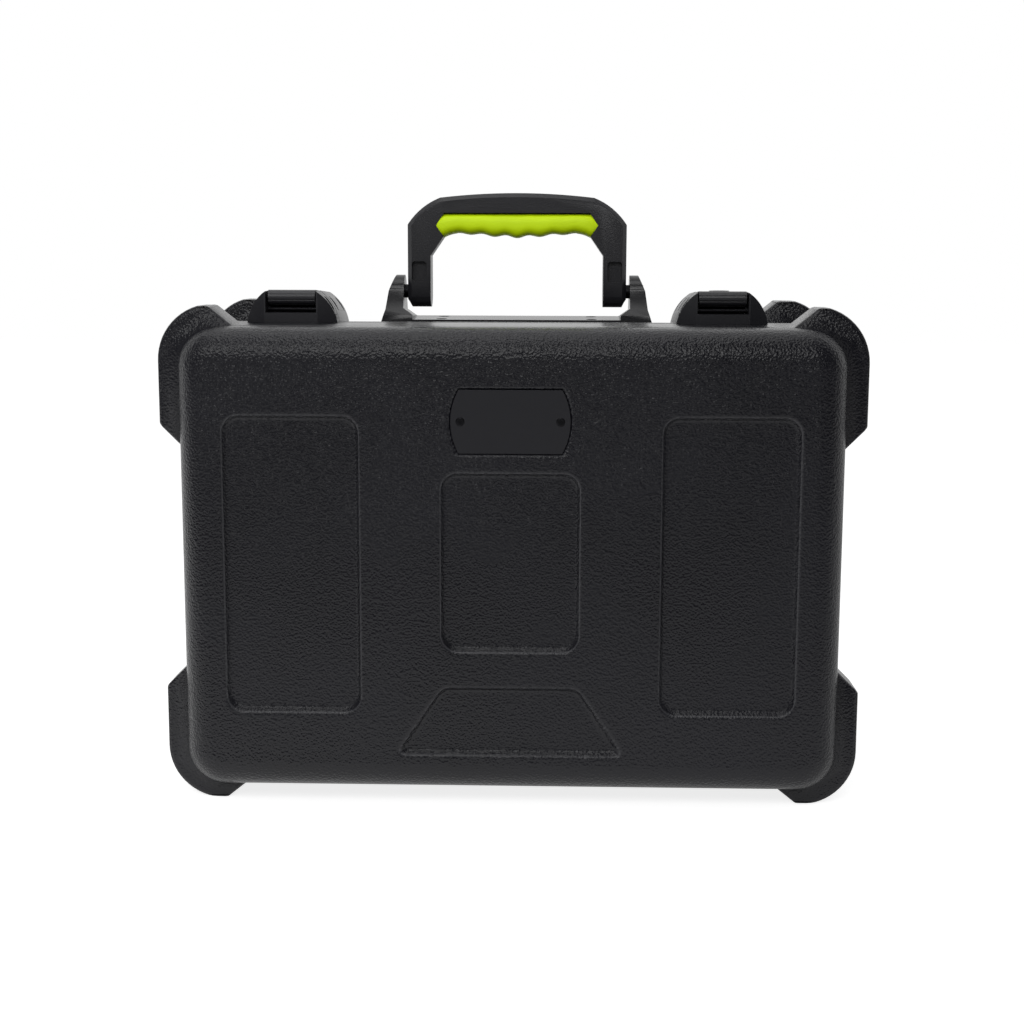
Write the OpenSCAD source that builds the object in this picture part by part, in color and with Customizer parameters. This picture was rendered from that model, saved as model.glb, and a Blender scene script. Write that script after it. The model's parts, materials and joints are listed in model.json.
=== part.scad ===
// Moulded microphone case, standing upright with its carrying handle raised.
// X runs across the case, -Y is the lid's outer face, +Z is up, and the bottom
// corner bumpers stand on z = 0. All sizes are in millimetres and degrees.

/* [Case body] */
// Outside width of both shells at the seam
body_w = 446; // [360:1:560]
// Outside height of both shells at the seam
body_h = 316; // [270:1:420]
// Depth of the lid, from its outer face to the seam
lid_depth = 80; // [70:1:120]
// Depth of the base, from the seam to its rear face
base_depth = 160; // [130:1:200]
// Wall thickness of both shells
wall = 4; // [3:0.5:5]
// Radius of the shells' corners at the seam, seen from the front
corner_r = 28; // [26:1:60]
// Radius that rolls the side walls into the lid's outer face
lid_edge_r = 20; // [8:1:24]
// Radius that rolls the side walls into the base's rear face
base_edge_r = 16; // [8:1:20]
// Mould draft of the lid's side walls
lid_draft = 1; // [0:0.25:3]
// Mould draft of the base's side walls
base_draft = 2.5; // [0:0.25:4]

/* [Rim] */
// Height of the tongue on the base's rim
tongue_h = 4; // [2:0.5:8]
// Thickness of the tongue
tongue_t = 1.4; // [1:0.1:2]
// Clearance round the tongue inside the lid's rebate
tongue_clearance = 0.3; // [0.2:0.05:0.6]

/* [Corner bumpers] */
// How far the bumpers stand out at the sides
bumper_side = 15; // [8:0.5:24]
// How far the bumpers stand out at top and bottom
bumper_top = 12; // [10:0.5:20]
// Outer corner radius of a bumper
bumper_r = 38; // [24:1:50]
// Depth that the flat feet and tops cut into that radius
bumper_flat = 1.5; // [0:0.25:3]
// Length of a bumper's arm along the bottom, and along the base's top
bumper_arm_x = 41; // [36:1:80]
// Length of the lid's bumper arms along the top
lid_bumper_arm = 35; // [30:1:60]
// Length of a bumper's arm down the side
bumper_arm_z = 79; // [50:1:110]
// Width of a bumper along the case's depth
bumper_depth = 34; // [16:1:44]
// Setback of the lid's bumpers from the lid's outer face
lid_bumper_setback = 25; // [22:1:32]
// Setback of the base's bumpers from the base's rear face
base_bumper_setback = 18; // [16:1:40]
// Bevel on a bumper's front and rear rims
bumper_bevel = 2; // [0.5:0.5:4]
// Slant of an arm's end, measured along the arm
bumper_end_slant = 15; // [6:1:24]

/* [Lid panels] */
// Depth of every recess in the lid's face
recess_depth = 4; // [2:0.5:6]
// Width of the bevelled wall round a recess
recess_bevel = 4; // [2:0.5:8]
// Corner radius of the rectangular recesses
recess_r = 12; // [8:1:20]
// Width of each outer panel
side_panel_w = 92; // [60:1:110]
// Height of each outer panel
side_panel_h = 202; // [120:1:240]
// Distance from the case's middle to an outer panel's centre
side_panel_x = 145.5; // [120:0.5:150]
// Height of the outer panels' centre below the body's middle
side_panel_drop = 1; // [-20:1:20]
// Width of the middle panel
mid_panel_w = 93.5; // [60:0.5:110]
// Height of the middle panel
mid_panel_h = 122; // [80:1:140]
// Height of the middle panel's centre above the body's middle
mid_panel_rise = 1.5; // [-10:0.5:20]
// Width of the lower tapered panel at its top
low_panel_top_w = 92; // [60:1:120]
// Width of the lower tapered panel at its bottom
low_panel_bottom_w = 156; // [100:1:190]
// Height of the lower tapered panel
low_panel_h = 48; // [36:1:60]
// Height of the lower panel's bottom edge above the body's bottom
low_panel_z = 27; // [22:1:40]

/* [Name plate] */
// Height of the plate
plate_h = 42; // [24:1:60]
// Width of the plate across its bulging sides
plate_w = 79; // [50:1:110]
// How far each side bulges
plate_bulge = 5.5; // [2:0.5:12]
// Thickness of the plate
plate_t = 1.5; // [0.8:0.1:2.5]
// Depth of the plate's seat
plate_seat = 2.2; // [1:0.1:3]
// Height of the plate's centre below the body's top
plate_drop = 62; // [45:1:80]
// Gap between the plate and the edge of its seat
plate_gap = 0.6; // [0.2:0.1:2]
// Distance between the two plate screws
plate_screw_span = 66; // [30:1:100]

/* [Latches] */
// Distance from the case's middle to a latch's centre
latch_x = 148.3; // [126:0.1:175]
// Offset of both latches towards the left
latch_offset = 4.9; // [0:0.1:10]
// Height of a latch housing above the shell
latch_h = 21.5; // [18:0.5:28]
// Radius of the housing's domed section
latch_dome_r = 31.7; // [31.5:0.1:40]
// Depth of the dome's centre below the shell's surface
latch_dome_sink = 5; // [2:0.5:10]
// Length of the keeper housing on the lid
keeper_len = 18; // [16.5:0.5:26]
// How far a keeper's cheeks sweep back towards its sides
cheek_sweep = 7; // [0:0.5:8]
// Depth that the keeper bar's ends reach into the cheeks
bar_bite = 4; // [2:0.5:4.5]
// Length of the latch housing on the base
housing_len = 52; // [48:1:80]
// Gap at the seam between each housing and the seam plane
seam_gap = 0.4; // [0.2:0.1:1]
// Width of the lever
lever_w = 32.6; // [24:0.2:33]
// Gap on each side of the lever
lever_gap = 1.2; // [0.5:0.1:2]
// Thickness of the lever's top plate
lever_t = 4; // [2.5:0.5:5]
// Radius of the lever's rolled nose
nose_r = 5; // [3:0.25:5.5]
// Distance from the seam to the front of the nose
nose_reach = 16; // [14:0.5:16]
// Height of the nose's groove below the middle of its roll
groove_drop = 2.1; // [0:0.1:3]
// Distance from the seam back to the lever's pivot
pivot_y = 36; // [30:1:38]
// Height of the lever's pivot above the shell
pivot_z = 13; // [10:0.5:15]
// Diameter of the lever's pin and of the keeper bar
lever_pin_d = 4; // [3:0.5:5]
// Height of the window's sill in the keeper housing
sill_h = 6.7; // [4:0.1:6.9]
// Floor thickness of the latch housing
housing_floor = 3; // [2:0.5:4]
// Diameter of the lock plug
plug_d = 10; // [6:0.5:14]
// Distance from the seam back to the lock plug
plug_y = 14; // [10:1:18]
// Height of the left lock's ring above its lever
left_ring_rise = 0.2; // [0.1:0.1:1.5]
// Height of the right lock's ring above its lever
right_ring_rise = 1; // [0.1:0.1:1.5]
// Head diameter of the housing screws
housing_screw_head = 6; // [4:0.5:7]
// Shank diameter of the housing screws
housing_screw_d = 3.5; // [2.5:0.25:4]
// Distance from a housing's centre to its screws
housing_screw_x = 25.5; // [24.5:0.5:26]

/* [Handle] */
// Overall width of the handle
handle_w = 161; // [120:1:220]
// Height of the handle above its pivot
handle_rise = 71.5; // [56:0.5:90]
// Width of each leg
leg_w = 17; // [14:0.5:24]
// Thickness of the handle from front to back
handle_t = 22; // [16:1:28]
// Length of a leg below the pivot
leg_foot = 11.5; // [10:0.5:13]
// Height of the pocket in the front and rear of each leg
window_h = 15; // [6:0.5:18]
// Height of the pocket's centre above the pivot
window_rise = 14.5; // [14:0.5:18]
// Depth of the pocket
window_depth = 5; // [1:0.5:6]
// Radius of the handle's shoulders
shoulder_r = 50; // [20:1:60]
// Radius of the slight crown along the handle's top
crown_r = 480; // [300:10:900]
// Chamfer round the handle's outer edges
handle_chamfer = 3; // [1:0.5:5]
// Inset of the diagonal blocks that carry the grip's ends
corner_in = 9.5; // [6:0.5:12]
// Depth of those blocks below the frame's band
corner_drop = 31; // [28:1:38]
// Thickness of the frame above the grip
frame_band = 14.4; // [8:0.2:20]
// Length of the grip insert
grip_len = 119; // [80:1:130]
// Thickness of the grip at its valleys
grip_valley = 14; // [10:0.5:18]
// How far the middle finger bump hangs below the valleys
bump_drop = 4.4; // [3.4:0.2:6]
// How much less each next bump hangs
bump_step = 1.5; // [0:0.1:1.6]
// Radius of each bump
bump_r = 26; // [22:1:32]
// How far the grip's ends hang below the valleys
lobe_drop = 3.2; // [2:0.2:4]
// Length of each end that hangs
lobe_len = 10.5; // [8:0.5:12]
// Number of finger bumps
bump_count = 5; // [3:1:6]
// Spacing of the finger bumps
bump_pitch = 17.4; // [14:0.2:18.4]
// Distance from the seam back to the handle's pivot
handle_y = 80; // [60:1:84]
// Height of the handle's pivot above the base shell
handle_z = 23; // [19:0.5:30]
// Diameter of the handle's pivot pins
handle_pin_d = 10; // [6:0.5:12]
// Gap between each leg and its ear
ear_gap = 2.7; // [1:0.1:4]
// Thickness of an ear at its top
ear_top_w = 6.3; // [4:0.1:10]
// Thickness of an ear at its foot
ear_foot_w = 16; // [10:0.5:24]
// Thickness of the bracket plate at its rear edge
bracket_t = 5.2; // [3:0.1:6]
// Thickness of the bracket plate at its front edge
bracket_front_t = 1.8; // [1.8:0.1:4]
// Height of the screws' seats above the base
bracket_seat = 0.8; // [0.4:0.1:1.2]
// Distance from an ear's inner face to the bracket's screws
bracket_screw_in = 28; // [14:1:40]
// Length of the bracket along the case's depth
bracket_len = 44; // [32:1:56]
// Diameter of the bracket's screws
bracket_screw_d = 4; // [3:0.5:5]

/* [Hinges] */
// Distance from the case's middle to each hinge's centre
hinge_x = 110; // [60:1:140]
// Length of each hinge
hinge_w = 72; // [40:1:100]
// Number of knuckles on each hinge
knuckles = 5; // [3:2:9]
// Outside diameter of the knuckles
knuckle_d = 8; // [6:0.5:9]
// Diameter of the hinge pin
hinge_pin_d = 4; // [2.5:0.25:5]
// Thickness of the hinge leaves
leaf_t = 2; // [1:0.1:2.4]
// Length of a leaf along the case's depth
leaf_len = 24; // [16:1:32]
// Depth of the leaf's flat seat at the seam
leaf_seat = 1; // [0.5:0.1:1.2]
// Gap between neighbouring knuckles
knuckle_gap = 0.3; // [0.2:0.05:0.6]
// Shank diameter of the rivets
rivet_d = 4; // [3:0.25:5]

/* [Foam] */
// Number of microphone drops across
drops_x = 5; // [3:1:5]
// Number of rows of microphone drops
drops_z = 3; // [2:1:3]
// Diameter of a microphone drop
drop_d = 40; // [30:1:46]
// Depth of a microphone drop
drop_depth = 125; // [90:1:140]
// Spacing of the drops across
drop_pitch_x = 58; // [50:1:60]
// Spacing of the rows of drops
drop_pitch_z = 86; // [60:1:92]
// Distance from the case's middle to the middle drop
drop_shift = 55; // [40:1:60]
// Width of each accessory compartment
bin_w = 76; // [40:1:80]
// Height of each accessory compartment
bin_h = 122; // [80:1:126]
// Depth of the accessory compartments
bin_depth = 118; // [60:1:130]
// Distance from the case's middle to the compartments' centre
bin_x = 150; // [140:1:160]
// Distance between the centres of the two compartments
bin_span = 138; // [134:1:140]
// Thickness of the lid's foam pad
lid_foam_t = 34; // [20:1:44]
// Gap between the foam and the shells' side walls
foam_gap = 0.6; // [0.3:0.1:2]

/* [Fits] */
// Radial running clearance of every pin in its bore
run_clearance = 0.05; // [0.02:0.01:0.1]
// Radial clearance of screws and rivets in their holes
fastener_clearance = 0.1; // [0.05:0.05:0.3]
// Size of the cut steps that keep moving faces apart
free_gap = 0.4; // [0.3:0.05:1]

/* [Hidden] */
$fn = 64;

case_depth = lid_depth + base_depth;
seam_y = lid_depth - case_depth / 2;
mid_z = bumper_top + body_h / 2;
outer_w = body_w + 2 * bumper_side;
outer_h = body_h + 2 * bumper_top;
bumper_root = wall + ceil(base_depth * tan(base_draft)) + 1;

latch_at = [-latch_x - latch_offset, latch_x - latch_offset];
slot_w = lever_w + 2 * lever_gap;
lever_tail_r = latch_h - pivot_z;
nose_z = latch_h - nose_r;
bar_y = -6;
bar_z = sill_h + 0.1 + lever_pin_d / 2;
lock_ring_r = plug_d / 2 + 2;
keeper_screw_y = -keeper_len / 2;
bar_l = slot_w + 2 * bar_bite;
pin_l = slot_w + 12;
housing_screw_y = [12, housing_len - 9];
screw_seat = 5;
dome_half = sqrt(latch_dome_r * latch_dome_r - latch_dome_sink * latch_dome_sink);

pivot_wz = mid_z + body_h / 2 - handle_y * tan(base_draft) + handle_z;
pivot_wy = seam_y + handle_y;
ear_in = handle_w / 2 + ear_gap;
ear_r = handle_pin_d / 2 + 7;
window_w = leg_w - 6;
leg_skin = 3;
bar_low = handle_rise - frame_band;
grip_low = bar_low - grip_valley;
grip_end = handle_w / 2 - leg_w - corner_in;

hinge_z = bumper_top + leaf_seat - leaf_t - knuckle_d / 2;
leaf_z = bumper_top + leaf_seat - leaf_t;
knuckle_w = hinge_w / knuckles;

foam_front = 2;

// ---------- shared forms ----------

// Lengths are kept to a hundredth of a millimetre.
function tidy(x) = round(100 * x) / 100;

// Half profile of a drafted wall that rolls over into a flat face:
// x is the distance from a corner's centre line, y the height above the rim.
module wall_profile(reach, height, slope, roll) {
  top = tidy(reach - (height - roll) * tan(slope));
  polygon([
    [0, 0], [reach, 0], [top, height - roll], [top - roll, height - roll],
    [top - roll, height], [0, height]
  ]);
  intersection() {
    translate([top - roll, height - roll]) circle(roll, $fn = 96);
    translate([top - roll, height - roll]) square(roll);
  }
}

// The same profile drawn to both sides of the middle.
module full_profile(half, height, slope, roll) {
  for (side = [0, 1]) mirror([side, 0]) wall_profile(half, height, slope, roll);
}

// A rounded, drafted tray shape standing on its rim and closing upwards.
module tray(w, h, r, height, slope, roll) {
  for (mx = [0, 1], my = [0, 1]) mirror([mx, 0, 0]) mirror([0, my, 0])
    translate([w / 2 - r, h / 2 - r, 0])
      rotate_extrude(angle = 90, $fn = 96) wall_profile(r, height, slope, roll);
  rotate([90, 0, 0]) linear_extrude(h - 2 * r, center = true)
    full_profile(w / 2, height, slope, roll);
  rotate([90, 0, 90]) linear_extrude(w - 2 * r, center = true)
    full_profile(h / 2, height, slope, roll);
}

// A flat slab with round corners.
module rounded_slab(w, h, r, t) {
  cube_w = w - 2 * r;
  cube_h = h - 2 * r;
  translate([-cube_w / 2, -h / 2, 0]) cube([cube_w, h, t]);
  translate([-w / 2, -cube_h / 2, 0]) cube([w, cube_h, t]);
  for (x = [-1, 1], y = [-1, 1]) translate([x * cube_w / 2, y * cube_h / 2, 0]) cylinder(r = r, h = t);
}

// A slab with round corners whose sides lean in by `inset` over its height.
module bevelled_slab(w, h, r, t, inset) {
  cw = w / 2 - r;
  ch = h / 2 - r;
  for (x = [-1, 1], y = [-1, 1]) translate([x * cw, y * ch, 0]) cylinder(r1 = r, r2 = r - inset, h = t);
  rotate([90, 0, 0]) linear_extrude(2 * ch, center = true)
    polygon([[-w / 2, 0], [w / 2, 0], [w / 2 - inset, t], [-w / 2 + inset, t]]);
  rotate([90, 0, 90]) linear_extrude(2 * cw, center = true)
    polygon([[-h / 2, 0], [h / 2, 0], [h / 2 - inset, t], [-h / 2 + inset, t]]);
}

// ---------- places ----------

// Lid's own frame: x across, y up, z from the seam towards the outer face.
module in_lid() translate([0, seam_y, mid_z]) rotate([90, 0, 0]) children();

// Base's own frame: x across, y up, z from the seam towards the rear face.
module in_base() translate([0, seam_y, mid_z]) mirror([0, 1, 0]) rotate([90, 0, 0]) children();

// Frame on the drafted top of the base: y runs back along it, z stands off it.
module on_base_top(x = 0)
  translate([x, seam_y, mid_z + body_h / 2]) rotate([-base_draft, 0, 0]) children();

// Frame on the drafted top of the lid, with -y running forward along it.
module on_lid_top(x = 0)
  translate([x, seam_y, mid_z + body_h / 2]) rotate([lid_draft, 0, 0]) children();

// ---------- shells ----------

// Corner pieces of a ring: straight arms with slanted ends, rooted in the shell's wall.
module bumper_outline(top_arm) {
  x1 = outer_w / 2;
  z1 = outer_h / 2;
  root_x = bumper_side + bumper_root;
  root_z = bumper_top + bumper_root;
  for (mx = [0, 1], mz = [0, 1]) mirror([mx, 0]) mirror([0, mz]) {
    arm = mz == 0 ? top_arm : bumper_arm_x;
    polygon([
      [x1 - root_x, z1 - root_z],
      [x1 - arm - tidy(bumper_end_slant * root_z / bumper_top), z1 - root_z],
      [x1 - arm, z1], [x1 + 1, z1],
      [x1 + 1, z1 - bumper_arm_z], [x1, z1 - bumper_arm_z],
      [x1 - root_x, z1 - bumper_arm_z - tidy(bumper_end_slant * root_x / bumper_side)]
    ]);
  }
}

// Four corner bumpers in a shell's own frame, from depth z0.
module bumpers(z0, top_arm) {
  mid = bumper_depth - 2 * bumper_bevel;
  tall = outer_h + 2 * bumper_flat;
  intersection() {
    translate([0, 0, z0]) linear_extrude(bumper_depth) bumper_outline(top_arm);
    union() {
      translate([0, 0, z0 + bumper_bevel]) rounded_slab(outer_w, tall, bumper_r, mid);
      translate([0, 0, z0 + bumper_depth - bumper_bevel])
        bevelled_slab(outer_w, tall, bumper_r, bumper_bevel, bumper_bevel);
      translate([0, 0, z0 + bumper_bevel]) mirror([0, 0, 1])
        bevelled_slab(outer_w, tall, bumper_r, bumper_bevel, bumper_bevel);
    }
  }
}

// A rectangular panel recess, cut down from the face. With `skin`, the larger
// pad that keeps that much wall behind the recess.
module panel_recess(w, h, skin = 0) {
  grow = 1.5 * skin;
  mirror([0, 0, 1]) bevelled_slab(w + 2 * grow, h + 2 * grow, recess_r + grow, recess_depth + skin,
    recess_bevel * (recess_depth + skin) / recess_depth);
}

// The tapered recess below the middle panel, or the pad behind it.
module low_recess(skin = 0) {
  lean = recess_bevel * (recess_depth + skin) / recess_depth;
  hull() for (side = [-1, 1], level = [0, 1]) {
    corner = level == 0 ? recess_r : recess_r * 2 / 3;
    half = (level == 0 ? low_panel_bottom_w : low_panel_top_w) / 2 - corner;
    r = corner + 1.5 * skin;
    translate([side * half, level == 0 ? corner : low_panel_h - corner, -recess_depth - skin])
      cylinder(r1 = max(r - lean, 1), r2 = r, h = recess_depth + skin, $fn = 32);
  }
}

// Every panel recess of a face at height z in the shell's frame.
module face_recesses(z, middle, skin = 0) {
  translate([0, 0, z]) {
    for (side = [-1, 1]) translate([side * side_panel_x, -side_panel_drop, 0])
      panel_recess(side_panel_w, side_panel_h, skin);
    if (middle) {
      translate([0, mid_panel_rise, 0]) panel_recess(mid_panel_w, mid_panel_h, skin);
      translate([0, low_panel_z - body_h / 2, 0]) low_recess(skin);
    }
  }
}

// Outline of the plate: a rectangle with bulging sides.
module plate_outline(grow = 0) {
  chord = plate_h / 2;
  arc_r = (chord * chord + plate_bulge * plate_bulge) / (2 * plate_bulge);
  intersection() {
    square([plate_w + 2 * grow, plate_h + 2 * grow], center = true);
    intersection_for (side = [-1, 1])
      translate([side * (plate_w / 2 - arc_r), 0]) circle(arc_r + grow, $fn = 128);
  }
}

// Flat seats for the hinge leaves, cut into the bottom of a shell (side -1 lid, +1 base).
module leaf_seats(side)
  for (x = [-1, 1]) translate([x * hinge_x - hinge_w / 2 - free_gap, 0, 0])
    translate([0, seam_y + (side < 0 ? -leaf_len - free_gap : -tongue_h - 1), 0])
      cube([hinge_w + 2 * free_gap, leaf_len + free_gap + (side < 0 ? 1 : tongue_h + 1), bumper_top + leaf_seat]);

// Places of the rivets in one leaf.
module rivet_places(side)
  for (x = [-1, 1], k = [-1, 0, 1])
    translate([x * hinge_x + k * hinge_w * 0.36, seam_y + side * leaf_len * 0.62, 0]) children();

// The raised tongue on the base's rim, seated a little way into the wall.
module tongue_ring() difference() {
  translate([0, 0, -tongue_h])
    rounded_slab(body_w - 2 * (wall - tongue_t), body_h - 2 * (wall - tongue_t),
      corner_r - wall + tongue_t, tongue_h + 1);
  translate([0, 0, -tongue_h - 1])
    rounded_slab(body_w - 2 * wall, body_h - 2 * wall, corner_r - wall, tongue_h + 3);
}

module base_shell() color([0.13, 0.13, 0.14]) difference() {
  union() {
    difference() {
      union() {
        in_base() tray(body_w, body_h, corner_r, base_depth, base_draft, base_edge_r);
        in_base() bumpers(base_depth - base_bumper_setback - bumper_depth, bumper_arm_x);
      }
      in_base() face_recesses(base_depth, false);
      leaf_seats(1);
      difference() {
        in_base() tray(body_w - 2 * wall, body_h - 2 * wall, corner_r - wall, base_depth - wall,
          base_draft, base_edge_r - wall);
        in_base() face_recesses(base_depth, false, wall);
      }
    }
    in_base() tongue_ring();
  }
  for (x = latch_at) on_base_top(x) housing_screw_places() shank_hole(housing_screw_d);
  on_base_top() bracket_screw_places() shank_hole(bracket_screw_d);
  rivet_places(1) cylinder(d = rivet_d + 2 * fastener_clearance, h = bumper_top + 20);
}

module lid_shell() color([0.13, 0.13, 0.14]) {
  difference() {
    union() {
      in_lid() tray(body_w, body_h, corner_r, lid_depth, lid_draft, lid_edge_r);
      in_lid() bumpers(lid_depth - lid_bumper_setback - bumper_depth, lid_bumper_arm);
    }
    in_lid() face_recesses(lid_depth, true);
    in_lid() translate([0, body_h / 2 - plate_drop, lid_depth - plate_seat])
      linear_extrude(plate_seat + 1) plate_outline(plate_gap);
    leaf_seats(-1);
    difference() {
      in_lid() tray(body_w - 2 * wall, body_h - 2 * wall, corner_r - wall, lid_depth - wall, lid_draft,
        lid_edge_r - wall);
      in_lid() face_recesses(lid_depth, true, wall);
      in_lid() translate([0, body_h / 2 - plate_drop, lid_depth - plate_seat - wall])
        rounded_slab(plate_w + 2 * wall, plate_h + 2 * wall, 6, wall);
    }
    in_lid() translate([0, 0, -1])
      rounded_slab(body_w - 2 * (wall - tongue_t - tongue_clearance),
        body_h - 2 * (wall - tongue_t - tongue_clearance),
        corner_r - wall + tongue_t + tongue_clearance, tongue_h + 1 + tongue_clearance);
    in_lid() plate_screw_places() translate([0, 0, -wall]) cylinder(d = 3 + 2 * fastener_clearance, h = 2 * wall);
    for (x = latch_at) on_lid_top(x) keeper_screw_places() shank_hole(housing_screw_d);
    rivet_places(-1) cylinder(d = rivet_d + 2 * fastener_clearance, h = bumper_top + 20);
  }
}

module shank_hole(d) translate([0, 0, -wall * 2]) cylinder(d = d + 2 * fastener_clearance, h = wall * 2 + 1);

// ---------- foam ----------

// A foam block that fits a shell's cavity from depth z0 to the pads behind the panels.
module foam_block(z0, z1, slope, roll) {
  inset = tidy(wall + foam_gap + z0 * tan(slope));
  translate([0, 0, z0])
    tray(body_w - 2 * inset, body_h - 2 * inset, corner_r - wall - foam_gap, z1 - z0, slope, roll);
}

module base_foam() color([0.2, 0.2, 0.21]) difference() {
  in_base() foam_block(foam_front, base_depth - wall - recess_depth, base_draft, base_edge_r - wall);
  in_base() for (i = [0 : drops_x - 1], j = [0 : drops_z - 1])
    translate([
      -drop_shift + (i - (drops_x - 1) / 2) * drop_pitch_x,
      (j - (drops_z - 1) / 2) * drop_pitch_z, foam_front - 1
    ]) cylinder(d = drop_d, h = drop_depth + 1);
  in_base() for (j = [-1, 1]) translate([bin_x, j * bin_span / 2, foam_front - 1])
    rounded_slab(bin_w, bin_h, 8, bin_depth + 1);
}

module lid_foam() color([0.2, 0.2, 0.21]) {
  seat = lid_depth - wall - recess_depth;
  in_lid() foam_block(seat - lid_foam_t, seat, lid_draft, lid_edge_r - wall);
}

// ---------- name plate ----------

module plate_screw_places()
  for (side = [-1, 1]) translate([side * plate_screw_span / 2, body_h / 2 - plate_drop, lid_depth - plate_seat])
    children();

module name_plate() color([0.1, 0.1, 0.1]) in_lid() difference() {
  translate([0, body_h / 2 - plate_drop, lid_depth - plate_seat]) linear_extrude(plate_t) plate_outline();
  plate_screw_places() translate([0, 0, -1]) cylinder(d = 3 + 2 * fastener_clearance, h = plate_t + 2);
}

module plate_screws() color([0.25, 0.25, 0.26]) in_lid() plate_screw_places() difference() {
  union() {
    translate([0, 0, -wall]) cylinder(d = 3, h = wall + plate_t + 0.5);
    translate([0, 0, plate_t]) cylinder(d1 = 6, d2 = 4.6, h = 0.6);
  }
  for (a = [0, 90]) rotate(a) translate([-1.5, -0.3, plate_t]) cube([3, 0.6, 1]);
}

// ---------- latches ----------

// Domed section of both latch housings, x across and y up.
module dome_section() intersection() {
  translate([0, -latch_dome_sink]) circle(latch_dome_r, $fn = 96);
  translate([-latch_dome_r, 0]) square([2 * latch_dome_r, latch_h]);
}

module dome_block(y0, y1) translate([0, y1, 0]) rotate([90, 0, 0]) linear_extrude(y1 - y0) dome_section();

module keeper_screw_places()
  for (side = [-1, 1]) translate([side * housing_screw_x, keeper_screw_y, 0]) children();

module housing_screw_places()
  for (side = [-1, 1], y = housing_screw_y) translate([side * housing_screw_x, y, 0]) children();

// Counterbore that opens a shoulder down to the screw's seat.
module shoulder_bore() {
  translate([0, 0, screw_seat]) cylinder(d = housing_screw_head + 1, h = latch_h);
  translate([0, 0, -1]) cylinder(d = housing_screw_d + 2 * fastener_clearance, h = latch_h);
}

module keeper() difference() {
  intersection() {
    dome_block(-keeper_len, -seam_gap);
    translate([0, 0, -1]) linear_extrude(latch_h + 2) polygon([
      [-dome_half - 1, 0], [-dome_half - 1, cheek_sweep - keeper_len], [-slot_w / 2 - 1, -keeper_len],
      [slot_w / 2 + 1, -keeper_len], [dome_half + 1, cheek_sweep - keeper_len], [dome_half + 1, 0]
    ]);
  }
  translate([-slot_w / 2, -keeper_len - 1, sill_h]) cube([slot_w, keeper_len + 2, latch_h]);
  keeper_screw_places() shoulder_bore();
  translate([0, bar_y, bar_z]) rotate([0, 90, 0])
    cylinder(d = lever_pin_d + 2 * fastener_clearance, h = bar_l + 1, center = true);
}

module keeper_left() color([0.12, 0.12, 0.13]) on_lid_top(latch_at[0]) keeper();
module keeper_right() color([0.12, 0.12, 0.13]) on_lid_top(latch_at[1]) keeper();

module keeper_bar() translate([0, bar_y, bar_z]) rotate([0, 90, 0])
  cylinder(d = lever_pin_d, h = bar_l, center = true);
module keeper_bar_left() color([0.6, 0.6, 0.6]) on_lid_top(latch_at[0]) keeper_bar();
module keeper_bar_right() color([0.6, 0.6, 0.6]) on_lid_top(latch_at[1]) keeper_bar();

// Pan-headed screw whose head sits in a shoulder.
module shoulder_screw() difference() {
  union() {
    translate([0, 0, -wall]) cylinder(d = housing_screw_d, h = wall + screw_seat + 0.5);
    translate([0, 0, screw_seat]) cylinder(d = housing_screw_head, h = 2);
  }
  for (a = [0, 90]) rotate(a) translate([-1.6, -0.4, screw_seat + 1]) cube([3.2, 0.8, 2]);
}

module keeper_screws() color([0.2, 0.2, 0.2])
  for (x = latch_at) on_lid_top(x) keeper_screw_places() shoulder_screw();
module housing_screws() color([0.2, 0.2, 0.2])
  for (x = latch_at) on_base_top(x) housing_screw_places() shoulder_screw();

module latch_housing() difference() {
  dome_block(seam_gap, housing_len);
  translate([-slot_w / 2, -1, housing_floor])
    cube([slot_w, 1 + pivot_y + lever_tail_r + free_gap, latch_h]);
  housing_screw_places() shoulder_bore();
  translate([0, pivot_y, pivot_z]) rotate([0, 90, 0])
    cylinder(d = lever_pin_d + 2 * fastener_clearance, h = pin_l + 1, center = true);
}
module latch_housing_left() color([0.12, 0.12, 0.13]) on_base_top(latch_at[0]) latch_housing();
module latch_housing_right() color([0.12, 0.12, 0.13]) on_base_top(latch_at[1]) latch_housing();

module lever_pin() translate([0, pivot_y, pivot_z]) rotate([0, 90, 0])
  cylinder(d = lever_pin_d, h = pin_l, center = true);
module lever_pin_left() color([0.6, 0.6, 0.6]) on_base_top(latch_at[0]) lever_pin();
module lever_pin_right() color([0.6, 0.6, 0.6]) on_base_top(latch_at[1]) lever_pin();

// Side view of the lever, x along the depth and y up: plate, rolled nose,
// round tail about the pivot, and the catch that stands over the keeper bar.
module lever_section() {
  difference() {
    union() {
      translate([-nose_reach + nose_r, latch_h - lever_t]) square([pivot_y + nose_reach - nose_r, lever_t]);
      translate([-nose_reach + nose_r, nose_z]) circle(nose_r, $fn = 48);
      translate([pivot_y, pivot_z]) circle(lever_tail_r);
      translate([bar_y - 1, bar_z + lever_pin_d / 2 + free_gap])
        square([5, latch_h - bar_z - lever_pin_d / 2 - free_gap - 0.5]);
    }
    translate([-nose_reach + nose_r - sqrt(nose_r * nose_r - groove_drop * groove_drop), nose_z - groove_drop])
      circle(0.7, $fn = 24);
  }
}

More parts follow.
